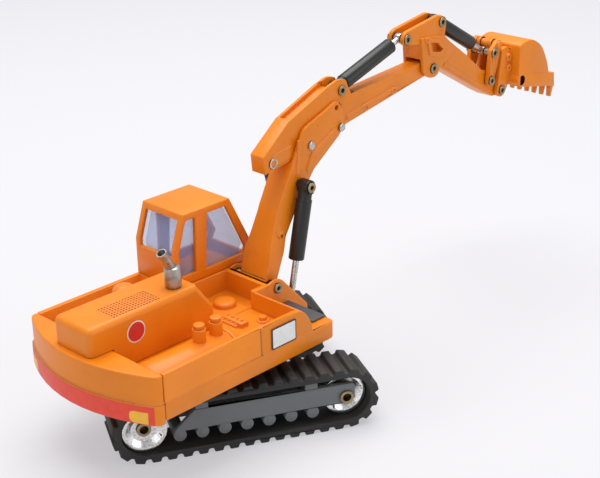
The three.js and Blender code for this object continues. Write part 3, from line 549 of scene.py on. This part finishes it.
round_edges(hood, 1.7, 6, soft_hood_edge)
round_edges(hood, 1.2, 4, lambda middle, way: crosswise(way) and middle.z > slope_foot - 0.1
            and middle.x > hood_high.x - slope_run - 0.2)
overhang = block("overhang", (hood_low.x - 5, -20, 0), (weight_high.x + 0.3, 20, weight_high.z + 0.15))
carve(hood, overhang)
hole_pitch = (0.95, 1.0)
hole_x, hole_y = -39.6, -4.9
hole_side, hole_depth = 0.55, 0.5
holes = block("holes", (hole_x, hole_y, hood_high.z - hole_depth),
              (hole_x + hole_side, hole_y + hole_side, hood_high.z + 1))
repeat(holes, 16, (hole_pitch[0], 0, 0))
repeat(holes, 7, (0, hole_pitch[1], 0))
carve(hood, holes)
finish(hood, "superstructure", orange, nodes=("engine_hood",))

# ---------------------------------------------------------------- engine bay
# Between hood and right wall lies one casting: a tank with domed ends and two capped fillers, a round cap,
# a valve block with four buttons and a stepped knob, all in orange enamel.


def lathe(name, foot, axis, rings, sides=36):
    """A turned solid: rings as radius and height along its axis, in millimetres from its foot."""
    bpy.ops.object.select_all(action="DESELECT")
    (radius, height), *rest = rings
    bpy.ops.mesh.primitive_circle_add(vertices=sides, radius=radius * MM, fill_type="NGON",
                                      location=(0, 0, 0))
    piece = bpy.context.object
    piece.name = name
    bpy.ops.object.mode_set(mode="EDIT")
    bpy.ops.mesh.select_mode(type="FACE")
    bpy.ops.mesh.select_all(action="SELECT")
    bpy.ops.transform.translate(value=(0, 0, height * MM))
    for next_radius, next_height in rest:
        climb = (0, 0, (next_height - height) * MM)
        bpy.ops.mesh.extrude_region_move(TRANSFORM_OT_translate={"value": climb})
        share = next_radius / radius
        bpy.ops.transform.resize(value=(share, share, 1))
        radius, height = next_radius, next_height
    bpy.ops.mesh.select_all(action="SELECT")
    bpy.ops.mesh.fill_holes(sides=0)
    bpy.ops.mesh.normals_make_consistent(inside=False)
    bpy.ops.object.mode_set(mode="OBJECT")
    piece.rotation_mode = "QUATERNION"
    piece.rotation_quaternion = Vector(axis).to_track_quat("Z", "Y")
    piece.location = at(*foot)
    bpy.ops.object.transform_apply(location=True, rotation=True, scale=True)
    return piece


def weld(first, *others):
    """Joins several solids into one mesh."""
    alone(first)
    for other in others:
        other.select_set(True)
    bpy.ops.object.join()
    return first


def dome(radius, length, rise, steps=5):
    """Rings of a drum with a domed end at its start and at its end."""
    turns = [math.radians(90 * k / steps) for k in range(1, steps + 1)]
    near = [(radius * math.sin(turn), rise * (1 - math.cos(turn))) for turn in turns]
    return [(0.02, 0)] + near + [(r, length - h) for r, h in reversed(near)] + [(0.02, length)]


bay_low, bay_high = (from_axis(corner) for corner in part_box("engine_bay_casting"))
deck_low = from_axis(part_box("deck")[0])
bed = bay_low.z
tank_radius, tank_y = 7.0, -14.8
crown = bay_high.z - 5
tank_z = crown - tank_radius
up, ahead = (0, 0, 1), (1, 0, 0)
tank = lathe("engine_bay", (bay_low.x, tank_y, tank_z), ahead, dome(tank_radius, 31.6, 2.6), sides=64)
ring = lathe("ring", (bay_low.x + 27.6, tank_y, tank_z), ahead,
             [(6.8, 0), (7.25, 0.1), (7.3, 0.3), (7.3, 0.6), (7.25, 0.8), (6.8, 0.9)], sides=64)
tank = weld(tank, ring)
alone(tank)
keep(tank, at(0, 0, bed), (0, 0, -1), fill=True)
filler = [(1.75, -1), (1.75, 3.3), (1.66, 3.5), (1.15, 3.55), (1.15, 3.7), (1.45, 3.75),
          (1.45, 4.55), (1.3, 4.75), (0.5, 4.8), (0.45, 5.0), (0.2, 5.0)]
fillers = [lathe("filler", (x, tank_y, crown), up, filler) for x in (-21.0, -15.4)]
cap = lathe("cap", (1.2, -0.2, bed), up,
            [(3.7, 0), (3.7, 0.35), (3.45, 0.5), (3.2, 0.55), (3.2, 1.5), (3.05, 1.95),
             (2.7, 2.25), (2.2, 2.38), (0.6, 2.42)])
knob = lathe("knob", (1.2, tank_y, bed), up,
             [(2.4, 0), (2.4, 0.5), (2.2, 0.65), (1.75, 0.7), (1.7, 1.2), (1.55, 1.4),
              (1.1, 1.42), (1.05, 2.2), (0.9, 2.4), (0.3, 2.42)])
plates = [block("bed", (-10, deck_low.y + 1.65, bed), (bay_high.x, hood_low.y - 0.15, bed + 0.8)),
          block("bed", (hood_high.x + 0.3, hood_low.y - 0.3, bed), (bay_high.x, 3.6, bed + 0.8))]
upper_edge = lambda middle, way: middle.z > bed + 1
valves = block("valves", (-5.7, -13.9, bed), (-2.9, -6.4, bed + 2.2))
round_edges(valves, 0.3, 3, upper_edge)
manifold = block("manifold", (-6.5, -12.6, bed), (-5.2, -4.2, bed + 1.5))
round_edges(manifold, 0.3, 3, upper_edge)
button = [(0.42, 0), (0.42, 0.5), (0.3, 0.68), (0.1, 0.7)]
buttons = [lathe("button", (-4.3, -12.6 + 1.7 * k, bed + 2), up, button, sides=16) for k in range(4)]
stud = [(0.3, 0), (0.3, 0.5), (0.15, 0.6)]
studs = [lathe("stud", (-5.9, -11.6 + 1.5 * k, bed + 1.2), up, stud, sides=12) for k in range(5)]
bay = weld(tank, *fillers, cap, knob, *plates, valves, manifold, *buttons, *studs)
finish(bay, "superstructure", orange, nodes=("engine_bay_casting",))

# The air filter is a round housing with a domed lid, cast with the deck on the hood's left.
air_filter = lathe("air_filter", (-18.6, 17.6, bed - 0.1), up,
                   [(3.4, 0), (3.4, 6.2), (3.1, 7.2), (2.4, 7.9), (1.3, 8.3), (0.2, 8.4)])
finish(air_filter, "superstructure", orange)

# ---------------------------------------------------------------- exhaust
# The exhaust is a rough pewter casting: a round silencer and a slanting open pipe.
# It is left unpainted, and its foot is pressed into the hood.
pewter = bare_metal("rough_pewter", (0.42, 0.41, 0.38), 0.4, 1.0, 620.0)
exhaust_low, exhaust_high = (from_axis(corner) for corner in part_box("exhaust"))
silencer_x, silencer_y = exhaust_high.x - 2.2, (exhaust_low.y + exhaust_high.y) / 2
silencer = lathe("silencer", (silencer_x, silencer_y, exhaust_low.z), up,
                 [(2.0, 0), (2.15, 0.3), (2.2, 0.8), (2.2, 4.9), (2.05, 5.35), (1.7, 5.6), (0.5, 5.65)])
lean = Vector((-3.6, 0, 6.2)).normalized()
pipe_length = 6.6
pipe = lathe("pipe", (silencer_x, silencer_y, exhaust_low.z + 4.6), lean,
             [(1.35, 0), (1.25, 0.9), (1.25, 2.5), (1.4, pipe_length), (1.08, pipe_length),
              (1.0, pipe_length - 1.6), (0.1, pipe_length - 1.7)])
exhaust = weld(silencer, pipe)
finish(exhaust, "superstructure", pewter, nodes=("exhaust",))

# ---------------------------------------------------------------- cab
# The cab is a thin casting in orange enamel, fixed on the left of the deck.
# One insert of clear, pale blue plastic glazes every window from the inside.
dress(smooth_copy("cab_shell", "cab_casting", 0.2, segments=3, merge_flats=False), orange)


def clear_plastic(name, colour, alpha):
    material, tree, shader, add = shader_nodes(name)
    link = tree.links.new
    place = add("ShaderNodeTexCoord")
    noise = add("ShaderNodeTexNoise", Scale=90.0, Detail=3.0)
    link(place.outputs["Object"], noise.inputs["Vector"])
    tone = add("ShaderNodeValToRGB")
    tone.color_ramp.elements[0].color = (*[c * 0.9 for c in colour], 1)
    tone.color_ramp.elements[1].color = (*colour, 1)
    link(noise.outputs["Fac"], tone.inputs["Fac"])
    link(tone.outputs[0], shader.inputs["Base Color"])
    shader.inputs["Alpha"].default_value = alpha
    shader.inputs["Roughness"].default_value = 0.08
    bump = add("ShaderNodeBump", Strength=0.08, Distance=0.1 * MM)
    link(noise.outputs["Fac"], bump.inputs["Height"])
    link(bump.outputs[0], shader.inputs["Normal"])
    return material


glazing = smooth_copy("cab_glazing", "moulded_glazing", 0.0, merge_flats=False)
dress(glazing, clear_plastic("pale_blue_plastic", (0.42, 0.55, 0.92), 0.28))

# ---------------------------------------------------------------- printing and step
# A plain white sticker with a dark edge is on the right wall, and a red disc with a white rim on the hood.
# The step is a piece of dark ribbed sheet, glued on the nose.
plain_white = printed_ink("white_ink", (0.78, 0.78, 0.76))
dark_ink = printed_ink("dark_ink", (0.035, 0.035, 0.035))
wall = deck_low.y
layers = ("label_edge", 0.0, 0.05, dark_ink), ("label_face", 0.35, 0.08, plain_white)
for name, margin, proud, ink in layers:
    label = block(name, (-5.85 + margin, wall - proud, 26.3 + margin),
                  (2.96 - margin, wall + 0.02, 32.2 - margin))
    round_edges(label, 0.3, 2, lambda middle, way: crosswise(way))
    finish(label, "superstructure", ink)
disc_place = (-34.2, hood_low.y + 0.05, 36.0)
crimson = printed_ink("crimson_ink", (0.62, 0.035, 0.03))
layers = ("disc_rim", 2.9, 0.10, plain_white), ("disc_face", 2.55, 0.14, crimson)
for name, radius, proud, ink in layers:
    disc = lathe(name, disc_place, (0, -1, 0), [(radius, -0.2), (radius, proud)], sides=48)
    finish(disc, "superstructure", ink)
plate_black = enamel("step_coating", (0.075, 0.075, 0.08), 0.5, 0.3, peel=0.5)
dress(smooth_copy("step_plate", "step_sheet", 0.1), plate_black)

# ---------------------------------------------------------------- lower boom
# The lower boom is one zinc casting in orange enamel, riveted between the deck's ears.
# Ribs run up each cheek from the cylinders' rivet to the bolts.


def prism(name, corners, y0, y1):
    """A convex outline in the side view, with a thickness across it, in millimetres from the slewing axis."""
    xs, zs = zip(*corners)
    piece = block(name, (min(xs) - 1, y0, min(zs) - 1), (max(xs) + 1, y1, max(zs) + 1))
    alone(piece)
    middle = Vector((sum(xs) / len(xs), sum(zs) / len(zs)))
    for a, b in zip(corners, corners[1:] + corners[:1]):
        outward = Vector((b[1] - a[1], a[0] - b[0]))
        if outward.dot(middle - Vector(a)) > 0:
            outward = -outward
        keep(piece, at(a[0], 0, a[1]), (outward.x, 0, outward.y), fill=True)
    return piece


def on_both_sides(name, corners, inner, outer, soften=0.12):
    """The same raised plate on the left cheek and on the right one, its edges softened."""
    plates = []
    for y0, y1 in ((inner, outer), (-outer, -inner)):
        plate = prism(name, corners, y0, y1)
        round_edges(plate, soften, 2, lambda middle, way: abs(middle.y) > outer - 0.01)
        plates.append(plate)
    return plates


def boss(x, z, radius, inner, outer, hole=0):
    """A round boss on both cheeks, with or without a blind hole."""
    rings = [(radius, inner), (radius, outer - 0.12), (radius - 0.12, outer)]
    if hole:
        rings += [(hole, outer), (hole, outer - 1.2), (0.05, outer - 1.2)]
    return [lathe("boss", (x, 0, z), (0, way, 0), rings, sides=28) for way in (1, -1)]


cheek = 3.6
lower_boom = weld(
    smooth_copy("lower_boom", "lower_boom_casting", 0.18, segments=3, merge_flats=False),
    *on_both_sides("rear_rib", [(26.7, 69.5), (28.1, 69.5), (27.2, 60.0), (25.9, 60.0)], cheek, 4.15),
    *on_both_sides("front_rib", [(32.3, 65.2), (33.6, 64.8), (31.1, 59.4), (30.0, 60.0)], cheek, 4.15),
    *on_both_sides("edge_rib", [(33.0, 63.4), (32.5, 64.6), (41.4, 69.2), (42.1, 68.0)], cheek, 4.1),
    *boss(31.8, 66.8, 2.1, cheek, 3.8),
)
dress(lower_boom, orange)

# ---------------------------------------------------------------- upper boom
# The upper boom is bolted into the fork of the lower one by two steel bolts.
# Its tail has a raised panel round an eyelet, and its lower flange is thicker, with two blind holes.
flank = 2.4
upper_boom = weld(
    smooth_copy("upper_boom", "upper_boom_casting", 0.22, segments=3, merge_flats=False),
    *on_both_sides("tail_panel", [(17.3, 63.9), (18.6, 67.2), (25.6, 68.1), (24.4, 64.4)], flank, 2.75),
    *on_both_sides("lower_flange", [(48.2, 69.9), (47.8, 71.4), (69.6, 75.0), (71.5, 73.9)], flank, 2.8),
    *boss(55.8, 71.8, 1.15, flank, 3.1, hole=0.6),
    *boss(67.7, 74.0, 1.15, flank, 3.1, hole=0.6),
)
dress(upper_boom, orange)
steel = bare_metal("bright_steel", (0.55, 0.53, 0.50), 0.28, 0.03, 2200.0)
for node in ("rear_boom_bolt", "front_boom_bolt", "tail_eyelet"):
    dress(smooth_copy(node, "turned_" + node, 0.15), steel)

# ---------------------------------------------------------------- stick
# The stick is a forked casting. A framed window and two small blind holes are cast in each cheek,
# and its lower edge carries a thin flange.
stick = weld(
    smooth_copy("stick", "stick_casting", 0.22, segments=3, merge_flats=False),
    *on_both_sides("window_frame", [(81.0, 86.6), (86.9, 85.5), (90.6, 82.3), (88.0, 80.2), (82.6, 81.4)],
                   3.6, 4.3),
    *on_both_sides("lower_edge", [(90.4, 76.6), (90.9, 77.6), (109.8, 66.3), (109.3, 65.3)], 2.7, 3.2),
    *boss(81.2, 86.3, 0.85, 3.6, 4.4, hole=0.42),
    *boss(93.3, 80.4, 0.85, 2.7, 3.5, hole=0.42),
)
for side in (-1, 1):
    window = prism("window", [(82.6, 85.3), (86.1, 84.6), (88.6, 82.2), (87.4, 81.5), (83.6, 82.4)],
                   *sorted((side * 2.4, side * 5.0)))
    carve(stick, window)
dress(stick, orange)

# ---------------------------------------------------------------- rocker, link and bucket
# Three more castings in orange enamel, held by rivets. The bucket's ears have two blind bosses outside,
# and a round tube runs along the foot of its back wall.
for node in ("rocker", "bucket_link"):
    dress(smooth_copy(node, node + "_casting", 0.18, segments=3, merge_flats=False), orange)
bucket = weld(
    smooth_copy("bucket", "bucket_casting", 0.22, segments=3, merge_flats=False),
    *boss(121.0, 73.1, 1.25, 4.3, 5.3, hole=0.5),
    *boss(121.2, 69.7, 1.25, 4.3, 5.3, hole=0.5),
    lathe("edge_tube", (123.9, -8.4, 65.6), (0, 1, 0),
          [(1.6, 0), (1.9, 0.25), (1.9, 16.55), (1.6, 16.8)], sides=32),
)
dress(bucket, orange)

# ---------------------------------------------------------------- cylinders
# Each cylinder is a black lacquered zinc barrel, with a bright steel rod that slides in it.
# Rivets through the barrel's foot and the rod's eye hold it between two parts of the arm.
lacquer = enamel("black_lacquer", (0.010, 0.010, 0.009), 0.36, 0.12)
for node in ("boom_cylinder_left", "boom_cylinder_right", "stick_cylinder", "bucket_cylinder"):
    dress(smooth_copy(node, node + "_barrel", 0.3, segments=3, merge_flats=False), lacquer)
for node in ("boom_rod_left", "boom_rod_right", "stick_rod", "bucket_rod"):
    dress(smooth_copy(node, node + "_bright", 0.12, merge_flats=False), steel)
